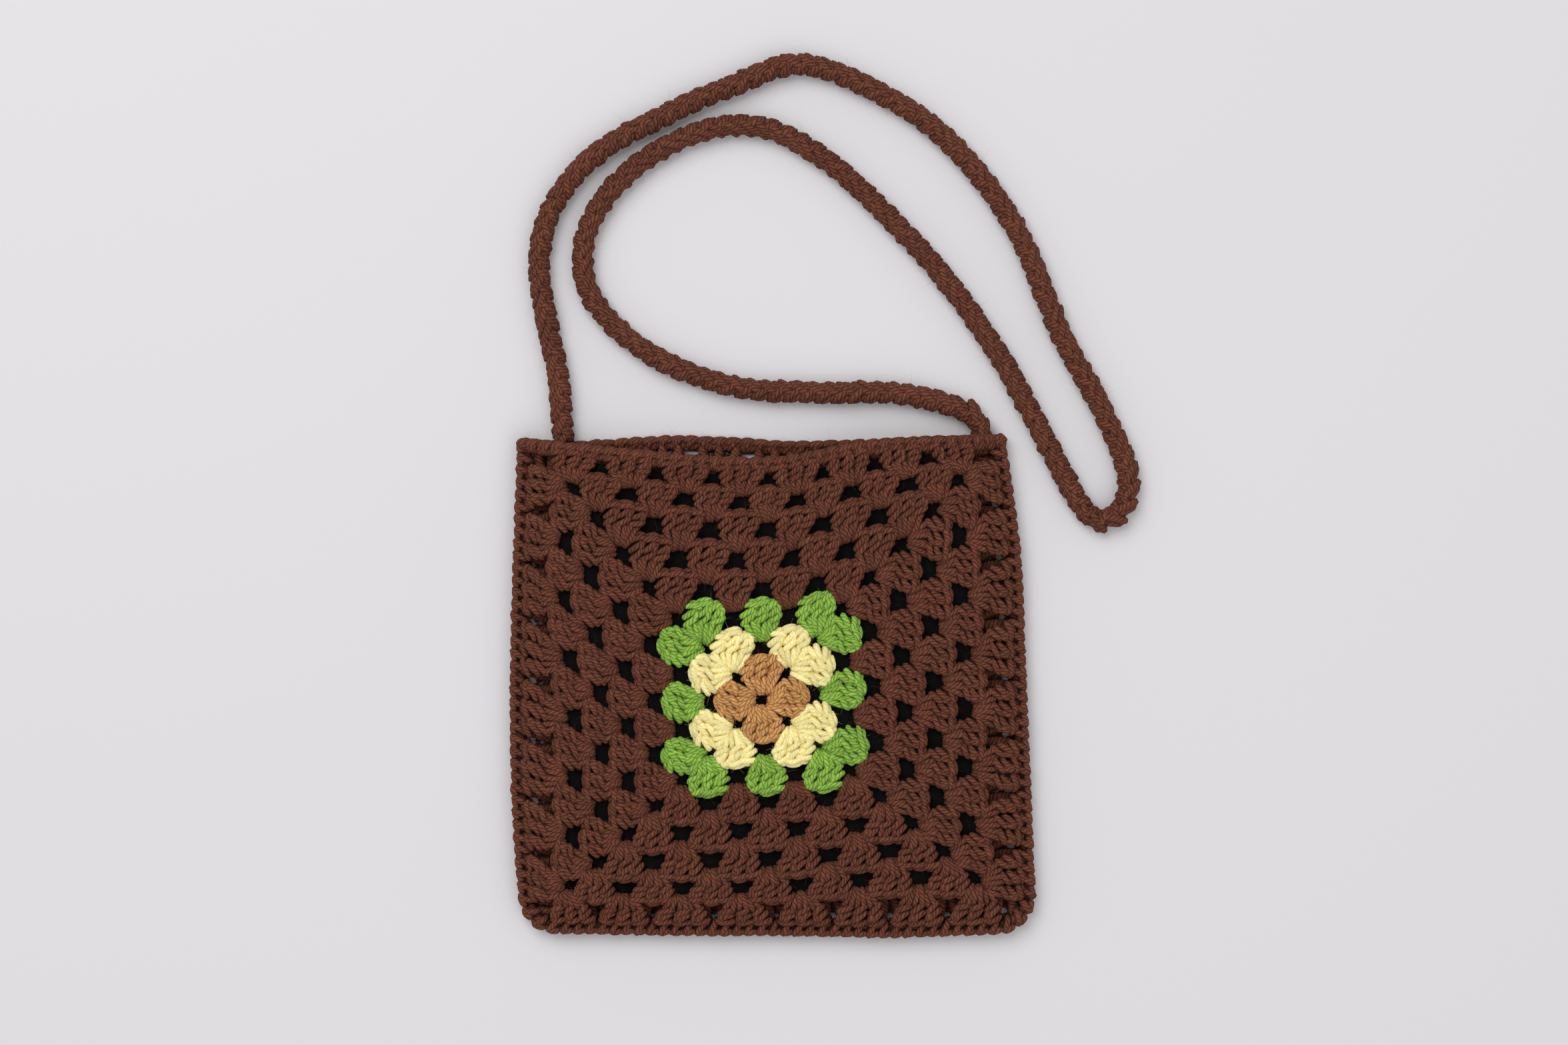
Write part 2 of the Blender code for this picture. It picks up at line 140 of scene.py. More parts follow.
# Loose fibres: how thick they are, how deep they start and how low they may reach.
FIBRE_RADIUS = 0.000022
FIBRE_ROOT = 0.3 * MILLIMETRE
FIBRE_LOWEST = 0.00012
FIBRE_SEED = 500

# How many sides and rings the strands have.
FLOWER_MESH = (7, 10)
FIELD_MESH = (6, 8)
BACK_MESH = (5, 6)

Colour = tuple[float, float, float]


class Yarn(Enum):
    """The yarns of the purse. Each value is the material slot of the record."""

    BROWN = "brown_yarn"
    TAN = "tan_yarn"
    YELLOW = "yellow_yarn"
    GREEN = "green_yarn"


class Side(Enum):
    """The four sides of a round, as quarter turns clockwise from the top."""

    TOP = 0
    RIGHT = 1
    FOOT = 2
    LEFT = 3


class Layer(Enum):
    """The two crocheted walls of the bag."""

    FRONT = "front"
    BACK = "back"


def linear(red: int, green: int, blue: int) -> Colour:
    """Turns a screen colour into the linear one that a shader takes.

    Args:
        red, green, blue: the colour on the screen, from 0 to 255.

    Returns:
        The linear colour.
    """
    shares = (value / 255 for value in (red, green, blue))
    return tuple(s / 12.92 if s <= 0.04045 else ((s + 0.055) / 1.055) ** 2.4 for s in shares)


def curve_weights(places: np.ndarray, at: np.ndarray) -> np.ndarray:
    """The share each given place has in a smooth curve through them.

    Args:
        places: the places the curve is known at, rising.
        at: where it is wanted, of any number.

    Returns:
        One row of shares for each wanted place.
    """
    known = np.eye(len(places))
    slopes = np.gradient(known, places, axis=0)
    inside = np.clip(at, places[0], places[-1])
    start = np.clip(np.searchsorted(places, inside) - 1, 0, len(places) - 2)
    step = (places[start + 1] - places[start])[:, None]
    t = (inside - places[start])[:, None] / step
    curve = (1 + 2 * t) * (1 - t) ** 2 * known[start] + t * (1 - t) ** 2 * step * slopes[start]
    curve += t**2 * (3 - 2 * t) * known[start + 1] - t**2 * (1 - t) * step * slopes[start + 1]
    ends = np.where((at < places[0])[:, None], slopes[0], slopes[-1])
    return curve + ends * (at - inside)[:, None]


def smooth_lines(points: np.ndarray, count: int) -> np.ndarray:
    """Draws smooth lines through control points.

    Args:
        points: control points, lines x points x 3.
        count: how many points each smooth line has.

    Returns:
        The lines, lines x count x 3.
    """
    share = np.linspace(0, 1, count)
    share = 0.5 * share + 0.5 * (0.5 - 0.5 * np.cos(np.pi * share))
    weights = curve_weights(np.arange(points.shape[1], dtype=float), share * (points.shape[1] - 1))
    return np.einsum("nk,skc->snc", weights, points)


def even_points(line: np.ndarray, pitch: float) -> np.ndarray:
    """Walks a line in equal steps.

    Args:
        line: the points of the line.
        pitch: the length wanted of a step, which is rounded so that the last step ends at the end.

    Returns:
        The points walked through, both ends among them.
    """
    run = np.concatenate(([0.0], np.cumsum(np.linalg.norm(np.diff(line, axis=0), axis=1))))
    wanted = np.linspace(0, run[-1], max(2, round(run[-1] / pitch) + 1))
    return np.stack([np.interp(wanted, run, line[:, axis]) for axis in range(line.shape[1])], axis=1)


class PanelShape:
    """Where a place on the flat square lies on the bag."""

    def __init__(self) -> None:
        """Measures how far the pulled square reaches, so that it can be fitted to the bag."""
        cells = np.arange(-LAST_CELL - 1, LAST_CELL + 1)
        lines = np.where(cells % 2 == 0, cells / 2 + HALF_GAP, (cells + 1) / 2 - HALF_GAP) / PANEL_REACH
        ones = np.ones_like(lines)
        edges = [self.bent(a, b) for a, b in ((lines, ones), (lines, -ones), (ones, lines), (-ones, lines))]
        self.low = np.min(np.concatenate(edges), axis=0)
        self.high = np.max(np.concatenate(edges), axis=0)

    @staticmethod
    def bent(across: np.ndarray, along: np.ndarray) -> np.ndarray:
        """The pulled square before it is fitted.

        Args:
            across, along: places on the flat square, from -1 to 1.

        Returns:
            The pulled places, one row of two each.
        """
        reach = (CORNER_RADIUS / PANEL_HALF_WIDTH, CORNER_RADIUS / PANEL_HALF_HEIGHT)
        past = (np.abs(across) - 1 + reach[0]) / reach[0], (-along - 1 + reach[1]) / reach[1]
        corner = (past[0] > 0) & (past[1] > 0)
        drawn = (
            past[0] * np.sqrt(np.maximum(0, 1 - past[1] ** 2 / 2)),
            past[1] * np.sqrt(np.maximum(0, 1 - past[0] ** 2 / 2)),
        )
        flat_across = np.where(corner, np.copysign(1 - reach[0] + drawn[0] * reach[0], across), across)
        flat_along = np.where(corner, -(1 - reach[1] + drawn[1] * reach[1]), along)
        columns = curve_weights(PANEL_PLACES, flat_across)
        levels = curve_weights(PANEL_PLACES, flat_along)
        tables = np.stack((PANEL_ACROSS, PANEL_ALONG))
        return np.einsum("nr,trc,nc->nt", levels, tables, columns)

    def place(self, across: np.ndarray, along: np.ndarray) -> np.ndarray:
        """Where places on the flat square lie, seen from above.

        Args:
            across, along: places on the flat square, from -1 to 1.

        Returns:
            The places on the bag, one row of two each, in metres.
        """
        shares = 2 * (self.bent(across, along) - self.low) / (self.high - self.low) - 1
        return shares * (PANEL_HALF_WIDTH, PANEL_HALF_HEIGHT) + (0.0, PANEL_MIDDLE)

    @staticmethod
    def shoulder(distance: np.ndarray) -> np.ndarray:
        """How far the front has risen at a distance inside its edge.

        Args:
            distance: metres inside the edge.

        Returns:
            The rise, from 0 to 1.
        """
        return np.sqrt(1 - (1 - np.clip(distance / POCKET_SHOULDER, 0, 1)) ** 2)

    def underside(self, across: np.ndarray, along: np.ndarray) -> np.ndarray:
        """The height of the front's underside.

        Args:
            across, along: places on the flat square, from -1 to 1.

        Returns:
            The heights, in metres.
        """
        side = self.shoulder((1 - np.abs(across)) * PANEL_HALF_WIDTH)
        foot = self.shoulder((1 + along) * PANEL_HALF_HEIGHT)
        return PANEL_THICKNESS + CLEARANCE + (PANEL_SPACE - CLEARANCE) * side * foot

    @staticmethod
    def back_rise(across: np.ndarray, along: np.ndarray) -> np.ndarray:
        """How far the back stands above the front at the mouth.

        Args:
            across, along: places on the flat square, from -1 to 1.

        Returns:
            The rises, in metres.
        """
        past = np.clip((across - BACK_RIM_RISE_MIDDLE) / BACK_RIM_RISE_REACH, -1, 1)
        return BACK_RIM_RISE * (1 - past * past) ** 2 * (1 + along) / 2

    def lift(self, points: np.ndarray, layer: Layer) -> np.ndarray:
        """Puts places of the lattice on a wall of the bag.

        Args:
            points: the last axis holds the two lattice coordinates and the height above the wall's middle.
            layer: the wall.

        Returns:
            The points in the row frame, in the same shape.
        """
        flat = points.reshape(-1, 3)
        across, along = flat[:, 0] / PANEL_REACH, flat[:, 1] / PANEL_REACH
        seen = self.place(across, along)
        if layer is Layer.FRONT:
            height = self.underside(across, along) + FRONT_MIDDLE + flat[:, 2]
        else:
            seen[:, 1] += self.back_rise(across, along)
            height = BACK_MIDDLE - BACK_RELIEF * flat[:, 2]
        return np.column_stack((seen, height)).reshape(points.shape)


@dataclass
class YarnBundle:
    """Strands of yarn that become one joined mesh.

    A strand is swept along a smooth line. Its map holds the turn around the strand and the length along it, in
    centimetres, and every strand has its own tone.
    """

    sides: int = 6
    rings: int = 8
    seed: int = 1
    vertices: list[np.ndarray] = field(default_factory=list)
    normals: list[np.ndarray] = field(default_factory=list)
    faces: list[list[int]] = field(default_factory=list)
    maps: list[np.ndarray] = field(default_factory=list)
    tones: list[np.ndarray] = field(default_factory=list)
    yarn_at: list[np.ndarray] = field(default_factory=list)
    yarn_here: list[np.ndarray] = field(default_factory=list)
    used: int = 0

    def __post_init__(self) -> None:
        """Starts the bundle's own random numbers."""
        self.random = np.random.default_rng(self.seed)

    def add(self, controls: np.ndarray, radius: np.ndarray, taper: float = 0.4, flat: float = 1.0) -> None:
        """Adds strands.

        Args:
            controls: control points, strands x points x 3.
            radius: each strand's radius.
            taper: the share of the radius left at both ends.
            flat: the share of the radius upwards, for strands that are pressed.
        """
        lines = smooth_lines(controls, self.rings)
        count = len(lines)
        ahead = np.gradient(lines, axis=1)
        ahead /= np.linalg.norm(ahead, axis=2, keepdims=True) + 1e-12
        out = np.cross(ahead[:, 0], (0.0, 0.0, 1.0))
        out[np.linalg.norm(out, axis=1) < 1e-3] = (1.0, 0.0, 0.0)
        outs = []
        for ring in range(self.rings):
            out = out - np.sum(out * ahead[:, ring], axis=1, keepdims=True) * ahead[:, ring]
            out = out / (np.linalg.norm(out, axis=1, keepdims=True) + 1e-12)
            outs.append(out)
        out = np.stack(outs, axis=1)
        up = np.cross(ahead, out)
        from_end = np.minimum(np.arange(self.rings), np.arange(self.rings)[::-1])
        beside = BESIDE_END[0] + BESIDE_END[1] * taper
        swell = np.where(from_end == 0, taper, np.where(from_end == 1, beside, 1.0))
        angles = np.arange(self.sides) * 2 * np.pi / self.sides
        away = out[:, :, None] * np.cos(angles)[:, None] + flat * up[:, :, None] * np.sin(angles)[:, None]
        thick = (np.asarray(radius)[:, None] * swell)[:, :, None, None]
        self.vertices.append((lines[:, :, None] + away * thick).reshape(-1, 3))
        self.normals.append(away.reshape(-1, 3))
        steps = np.linalg.norm(np.diff(lines, axis=1), axis=2)
        self._faces(steps)
        self.tones.append(np.repeat(self.random.uniform(0, 1, count), self.rings * self.sides))
        self.yarn_at.append((lines[:, 1:] / 2 + lines[:, :-1] / 2).reshape(-1, 3))
        self.yarn_here.append((steps * np.pi * np.asarray(radius)[:, None] ** 2).ravel())

    def _faces(self, steps: np.ndarray) -> None:
        """Adds the faces and the map of strands.

        Args:
            steps: the distances between the rings, one row for each strand.
        """
        count = len(steps)
        ring, side = np.meshgrid(np.arange(self.rings - 1), np.arange(self.sides), indexing="ij")
        after = (side + 1) % self.sides
        quads = np.stack((
            ring * self.sides + side, ring * self.sides + after,
            (ring + 1) * self.sides + after, (ring + 1) * self.sides + side,
        ), axis=-1).reshape(-1, 4)
        first = self.used + np.arange(count) * self.rings * self.sides
        run = np.concatenate((np.zeros((count, 1)), np.cumsum(steps, axis=1)), axis=1)
        run = run * 100 + self.random.uniform(0, 7, (count, 1))
        turn = np.stack((side, side + 1, side + 1, side), axis=-1).reshape(-1, 4) / self.sides
        rows = np.stack((ring, ring, ring + 1, ring + 1), axis=-1).reshape(-1, 4)
        for strand in range(count):
            self.faces.extend((quads + first[strand]).tolist())
            self.maps.append(np.stack((turn, run[strand][rows]), axis=-1).reshape(-1, 2))
            start = (first[strand] + np.arange(self.sides))[::-1]
            end = first[strand] + (self.rings - 1) * self.sides + np.arange(self.sides)
            self.faces.extend((start.tolist(), end.tolist()))
            cap = np.zeros((2 * self.sides, 2))
            cap[: self.sides, 1] = run[strand][0]
            cap[self.sides :, 1] = run[strand][-1]
            self.maps.append(cap)
        self.used += count * self.rings * self.sides

    def made(self, name: str, crowd: "Crowd | None" = None) -> bpy.types.Object:
        """Makes the joined mesh.

        Args:
            name: the piece's name.
            crowd: how crowded the yarn is everywhere, which the piece carries as painted shade between strands.

        Returns:
            The piece, shaded smooth.
        """
        mesh = bpy.data.meshes.new(name)
        mesh.from_pydata(np.concatenate(self.vertices).tolist(), [], self.faces)
        mesh.uv_layers.new(name="strand").data.foreach_set("uv", np.concatenate(self.maps).ravel())
        tone = mesh.attributes.new("tone", "FLOAT", "POINT")
        tone.data.foreach_set("value", np.concatenate(self.tones))
        # Painted shade: how deep each place lies between strands, for the material to darken it.
        if crowd is not None:
            hollow_shade = mesh.attributes.new("hollow_shade", "FLOAT", "POINT")
            enclosed = crowd.at(np.concatenate(self.vertices), np.concatenate(self.normals))
            hollow_shade.data.foreach_set("value", enclosed)
        mesh.shade_smooth()
        mesh.update()
        piece = bpy.data.objects.new(name, mesh)
        bpy.context.collection.objects.link(piece)
        return piece


# The crowding is used only for painted shade: the material darkens the yarn where it lies deep between strands.
class Crowd:
    """How crowded the yarn is around a place, which tells the hollows of the stitches from their crests."""

    CELL = 0.0010
    REACHES = (0.0012, 0.0024)
    OPEN = 0.22
    SPAN = 0.62

    def __init__(self, bundles: list[YarnBundle]) -> None:
        """Counts the yarn in small cells.

        Args:
            bundles: all the yarn.
        """
        places = np.concatenate([p for bundle in bundles for p in bundle.yarn_at])
        amounts = np.concatenate([a for bundle in bundles for a in bundle.yarn_here])
        self.low = places.min(axis=0) - 6 * self.CELL
        size = np.ceil((places.max(axis=0) - self.low) / self.CELL).astype(int) + 7
        cells = ((places - self.low) / self.CELL).astype(int)
        grid = np.zeros(size)
        np.add.at(grid, tuple(cells.T), amounts / self.CELL**3)
        for axis in range(3):
            for _ in range(2):
                grid = (np.roll(grid, 1, axis) + grid + np.roll(grid, -1, axis)) / 3
        self.grid = grid

    def at(self, points: np.ndarray, away: np.ndarray) -> np.ndarray:
        """How enclosed places on the yarn are.

        Args:
            points: the places.
            away: the outward directions there.

        Returns:
            0 where a place is open to 1 where it lies deep between strands.
        """
        found = np.zeros(len(points))
        for reach in self.REACHES:
            cells = np.round((points + reach * away - self.low) / self.CELL - 0.5).astype(int)
            cells = np.clip(cells, 0, np.array(self.grid.shape) - 1)
            found += self.grid[tuple(cells.T)] / len(self.REACHES)
        return np.clip((found - self.OPEN) / self.SPAN, 0, 1)


def enter(piece: bpy.types.Object, slot: str, nodes: tuple[str, ...]) -> bpy.types.Object:
    """Enters a piece in the frame.

    Args:
        piece: the piece.
        slot: the record's material slot, which is only logged.
        nodes: the CAD nodes it stands for.

    Returns:
        The same piece.
    """
    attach(piece, "root")
    if nodes:
        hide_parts(*nodes)
    LOG.info("%s: %d faces, %s", piece.name, len(piece.data.polygons), slot)
    return piece


@dataclass
class Shader:
    """A small helper that lays out the nodes of a material or a node group."""

    tree: bpy.types.NodeTree

    def node(self, kind: str, **settings: object) -> bpy.types.Node:
        """Adds a node.

        Args:
            kind: the node's type.
            settings: its properties.

        Returns:
            The node.
        """
        made = self.tree.nodes.new(kind)
        for name, value in settings.items():
            setattr(made, name, value)
        return made

    def feed(self, socket: bpy.types.NodeSocket, value: object) -> None:
        """Links a socket, or sets it where the value is a constant.

        Args:
            socket: the input.
            value: an output, a number or a colour.
        """
        if isinstance(value, bpy.types.NodeSocket):
            self.tree.links.new(value, socket)
        elif value is not None:
            socket.default_value = value

    def filled(self, made: bpy.types.Node, inputs: dict[str, object]) -> bpy.types.Node:
        """Feeds a node's inputs by name.

        Args:
            made: the node.
            inputs: what each input takes.

        Returns:
            The same node.
        """
        for name, value in inputs.items():
            self.feed(made.inputs[name], value)
        return made

    def maths(self, operation: str, *values: object) -> bpy.types.NodeSocket:
        """Adds a sum.

        Args:
            operation: the kind of sum.
            values: its inputs.

        Returns:
            The result.
        """
        made = self.node("ShaderNodeMath", operation=operation)
        for socket, value in zip(made.inputs, values):
            self.feed(socket, value)
        return made.outputs[0]

    def mixed(self, factor: object, first: object, second: object, blend: str = "MIX") -> bpy.types.NodeSocket:
        """Mixes two colours.

        Args:
            factor: how much of the second.
            first, second: the colours.
            blend: the way they are mixed.

        Returns:
            The mixed colour.
        """
        made = self.node("ShaderNodeMix", data_type="RGBA", blend_type=blend)
        self.feed(made.inputs[0], factor)
        for socket, value in ((made.inputs[6], first), (made.inputs[7], second)):
            self.feed(socket, (*value, 1.0) if isinstance(value, tuple) and len(value) == 3 else value)
        return made.outputs[2]

    def noise(self, where: object, scale: float, detail: float = 2.0) -> bpy.types.NodeSocket:
        """Adds noise.

        Args:
            where: the coordinates.
            scale: its scale.
            detail: its detail.

        Returns:
            The noise, from 0 to 1.
        """
        made = self.filled(self.node("ShaderNodeTexNoise"), {"Vector": where, "Scale": scale, "Detail": detail})
        return made.outputs["Fac"]

    def ranged(
        self, value: object, low: float, high: float, to_low: float, to_high: float,
    ) -> bpy.types.NodeSocket:
        """Maps a value from one range to another, kept inside it.

        Args:
            value: the value.
            low, high: the range it comes from.
            to_low, to_high: the range it goes to.

        Returns:
            The mapped value.
        """
        made = self.node("ShaderNodeMapRange")
        for socket, given in zip(made.inputs, (value, low, high, to_low, to_high)):
            self.feed(socket, given)
        return made.outputs[0]


def new_material(
    name: str, roughness: float, specular: float,
) -> tuple[bpy.types.Material, Shader, bpy.types.Node]:
    """Starts a material.

    Args:
        name: its name.
        roughness, specular: how it takes the light.

    Returns:
        The material, the helper for its nodes and its surface node.
    """
    made = bpy.data.materials.new(name)
    made.use_nodes = True
    s = Shader(made.node_tree)
    surface = made.node_tree.nodes["Principled BSDF"]
    return made, s, s.filled(surface, {"Roughness": roughness, "Specular IOR Level": specular})


@cache
def ply_group() -> bpy.types.NodeTree:
    """The twist of a strand: how high its plies stand at a place.

    Returns:
        The node group, made once.
    """
    group = bpy.data.node_groups.new("Ply twist", "ShaderNodeTree")
    for name, way in (("Plies", "INPUT"), ("Turns", "INPUT"), ("Slack", "INPUT"), ("Height", "OUTPUT")):
        group.interface.new_socket(name, in_out=way, socket_type="NodeSocketFloat")
    s = Shader(group)
    given = s.node("NodeGroupInput")
    result = s.node("NodeGroupOutput")
    seen = s.node("ShaderNodeUVMap", uv_map="strand")
    split = s.node("ShaderNodeSeparateXYZ")
    s.feed(split.inputs[0], seen.outputs[0])
    place = s.node("ShaderNodeTexCoord").outputs["Object"]
    loose = s.maths("MULTIPLY", s.maths("SUBTRACT", s.noise(place, 420.0, 1.0), 0.5), given.outputs["Slack"])
    around = s.maths("MULTIPLY", split.outputs["X"], given.outputs["Plies"])
    along = s.maths("MULTIPLY", split.outputs["Y"], given.outputs["Turns"])
    phase = s.maths("ADD", s.maths("ADD", around, along), loose)
    ply = s.maths("ABSOLUTE", s.maths("SINE", s.maths("MULTIPLY", phase, math.pi)))
    fine = s.maths("ABSOLUTE", s.maths("SINE", s.maths("MULTIPLY", phase, math.pi * 3)))
    fibre = s.noise(place, 2600.0, 2.0)
    height = s.maths("ADD", s.maths("POWER", ply, 0.55), s.maths("MULTIPLY", fine, 0.24))
    s.feed(result.inputs["Height"], s.maths("ADD", height, s.maths("MULTIPLY", fibre, 0.34)))
    return group


@dataclass(frozen=True)
class YarnFinish:
    """A plied, slightly fuzzy yarn."""

    yarn: Yarn
    # The first colour is painted shade, laid into the ply grooves and into the hollows between strands.
    groove_shade: Colour
    body: Colour
    # The third colour is painted highlight on the ply crests. It is also the sheen tint and the colour of the
    # loose fibres.
    light: Colour
    relief: float = 0.9
    slack: float = 1.1
    sheen: float = 0.25
    turns: float = 5.8
    # How far the hollows between strands are darkened toward the first colour, as painted shade.
    hollow_shade_strength: float = 0.85

    @cache
    def material(self) -> bpy.types.Material:
        """Makes the yarn's material, once.

        Returns:
            The material.
        """
        made, s, surface = new_material(self.yarn.value + "_plied", 0.88, 0.18)
        twist = s.filled(
            s.node("ShaderNodeGroup", node_tree=ply_group()),
            {"Plies": 4.0, "Turns": self.turns, "Slack": self.slack},
        )
        height = twist.outputs["Height"]
        tone = s.node("ShaderNodeAttribute", attribute_name="tone").outputs["Fac"]
        hollow_shade = s.node("ShaderNodeAttribute", attribute_name="hollow_shade").outputs["Fac"]
        # Painted shade in the ply grooves, following the twist's height.
        shade = s.mixed(s.ranged(height, 0.15, 1.0, 0.25, 1.0), self.groove_shade, self.body)
        # Painted highlight on the ply crests.
        shade = s.mixed(s.ranged(height, 0.95, 1.3, 0.0, 0.75), shade, self.light)
        # Painted shade where the yarn lies deep between strands.
        shade = s.mixed(s.ranged(hollow_shade, 0.1, 1.0, 0.0, self.hollow_shade_strength), shade, self.groove_shade)
        shade = s.mixed(1.0, shade, s.ranged(tone, 0.0, 1.0, 0.86, 1.10), "MULTIPLY")
        bump = s.node("ShaderNodeBump")
        s.filled(bump, {"Strength": self.relief, "Distance": 0.0004, "Height": height})
        s.filled(surface, {
            "Base Color": shade, "Normal": bump.outputs[0],
            "Sheen Weight": self.sheen, "Sheen Roughness": 0.5, "Sheen Tint": (*self.light, 1.0),
        })
        return made

    @cache
    def fuzz(self) -> bpy.types.Material:
        """Makes the material of the yarn's loose fibres, once.

        Returns:
            The material.
        """
        made, s, surface = new_material(self.yarn.value + "_fuzz", 0.8, 0.2)
        # The loose fibres are coloured with the painted highlight of the ply crests.
        s.feed(surface.inputs["Base Color"], (*self.light, 1.0))
        return made


# For each yarn: painted shade for grooves and hollows, the yarn's own colour, and painted highlight for crests.
FINISHES = {
    Yarn.BROWN: YarnFinish(Yarn.BROWN, linear(30, 14, 10), linear(88, 46, 34), linear(122, 74, 54)),
    Yarn.TAN: YarnFinish(Yarn.TAN, linear(104, 50, 18), linear(190, 134, 76), linear(216, 166, 108)),
    Yarn.YELLOW: YarnFinish(
        Yarn.YELLOW, linear(214, 186, 84), linear(242, 229, 152), linear(250, 240, 184), relief=0.45, slack=2.2,
        sheen=0.5,
    ),
    Yarn.GREEN: YarnFinish(Yarn.GREEN, linear(44, 80, 14), linear(126, 170, 60), linear(156, 196, 88)),
}


@dataclass(frozen=True)
class ClothFinish:
    """A dense black woven cloth with a little lint."""

    name: str = "black_cloth_woven"
    dark: Colour = linear(13, 12, 12)
    light: Colour = linear(34, 33, 33)

    def material(self) -> bpy.types.Material:
        """Makes the cloth's material.

        Returns:
            The material.
        """
        made, s, surface = new_material(self.name, 0.95, 0.1)
        place = s.node("ShaderNodeTexCoord").outputs["Object"]
        split = s.node("ShaderNodeSeparateXYZ")
        s.feed(split.inputs[0], place)
        warp, weft = (
            s.maths("ABSOLUTE", s.maths("SINE", s.maths("MULTIPLY", split.outputs[axis], 9000.0)))
            for axis in "XY"
        )
        weave = s.maths("MAXIMUM", warp, weft)
        lint = s.ranged(s.noise(place, 1500.0, 3.0), 0.55, 0.8, 0.0, 1.0)
        shade = s.mixed(s.maths("MULTIPLY", lint, weave), self.dark, self.light)
        bump = s.filled(s.node("ShaderNodeBump"), {"Strength": 0.4, "Distance": 0.0002, "Height": weave})
        s.filled(surface, {"Base Color": shade, "Normal": bump.outputs[0]})
        return made


@dataclass(frozen=True)
class Strand:
    """One strand of a stitch, as control points in the stitch's own frame.

    A point holds how far it stands to the side, in lattice units, how far up the stitch it is, from 0 to 1, and
    how far it stands off the wall's middle, in millimetres.
    """

    points: tuple[tuple[float, float, float], ...]
    thickness: float = 1.0


POST_STRANDS = (
    Strand((
        (-0.05, -0.04, -1.9), (-0.085, 0.08, 0.1), (-0.105, 0.24, 1.2),
        (-0.12, 0.40, 1.2), (-0.12, 0.54, -0.4))),
    Strand((
        (0.06, -0.04, -1.9), (0.09, 0.08, 0.1), (0.105, 0.24, 1.1),
        (0.11, 0.38, 1.0), (0.15, 0.52, -0.3))),
    Strand((
        (-0.27, 0.42, -1.0), (-0.18, 0.45, 0.7), (-0.02, 0.52, 1.7),
        (0.15, 0.60, 1.3), (0.26, 0.67, -0.6))),
    Strand((
        (-0.25, 0.60, -1.0), (-0.17, 0.63, 0.7), (-0.04, 0.71, 1.6),
        (0.08, 0.81, 1.4), (0.14, 0.92, 0.0))),
    Strand(((0.06, 0.62, -0.6), (0.14, 0.69, 0.9), (0.20, 0.78, 1.1), (0.24, 0.88, 0.2))),
    Strand((
        (-0.34, 0.84, -0.8), (-0.18, 0.89, 0.9), (0.02, 0.94, 1.6),
        (0.20, 0.95, 1.1), (0.35, 0.88, -0.7))),
    Strand(((-0.30, 0.94, -1.6), (-0.12, 1.00, -0.3), (0.10, 1.02, 0.0), (0.30, 0.95, -1.4))),
    Strand(((0.0, 0.02, -2.1), (0.0, 0.3, -1.6), (0.0, 0.60, -1.9), (0.0, 0.94, -2.2)), 1.9),
)
BACK_STRANDS = tuple(POST_STRANDS[number] for number in (0, 1, 2, 3, 5, 7))


@dataclass(frozen=True)
class ClusterShape:
    """How the three posts of a cluster fan out, in lattice units from the cluster's own lattice point."""

    base: float = -0.72
    top: float = 0.60
    base_spread: float = 0.17
    belly_spread: float = 0.44
    top_spread: float = 0.50
    corner_shift: float = 0.10
    dome: float = 0.03


SHAPES = {
    Yarn.TAN: ClusterShape(-0.72, 0.62, 0.16, 0.50, 0.34, dome=0.11),
    Yarn.YELLOW: ClusterShape(-0.80, 0.55, 0.17, 0.50, 0.33, dome=0.12),
    Yarn.GREEN: ClusterShape(-0.80, 0.60, 0.14, 0.46, 0.31, dome=0.10),
    Yarn.BROWN: ClusterShape(),
}
OUTER_SHAPE = ClusterShape(top=0.74, base_spread=0.20, belly_spread=0.54, top_spread=0.60)


@dataclass(frozen=True)
class Cluster:
    """One cluster of the square.

    Its place counts along the side, from the middle, and its round counts outwards.
    """

    side: Side
    place: int
    round: int

    @property
    def yarn(self) -> Yarn:
        """The yarn of the cluster's round."""
        return {1: Yarn.TAN, 2: Yarn.YELLOW, 3: Yarn.GREEN}.get(self.round, Yarn.BROWN)

    @property
    def corner(self) -> int:
        """1 or -1 beside the corner at that end of the side, else 0."""
        if self.round == 1 or abs(self.place) != self.round - 1:
            return 0
        return 1 if self.place > 0 else -1


def clusters(first: int, last: int) -> list[Cluster]:
    """Lists the clusters of some rounds.

    Args:
        first, last: the rounds, both among them.

    Returns:
        The clusters.
    """
    return [
        Cluster(side, place, number)
        for number in range(first, last + 1)
        for side in Side
        for place in range(1 - number, number, 2)
    ]


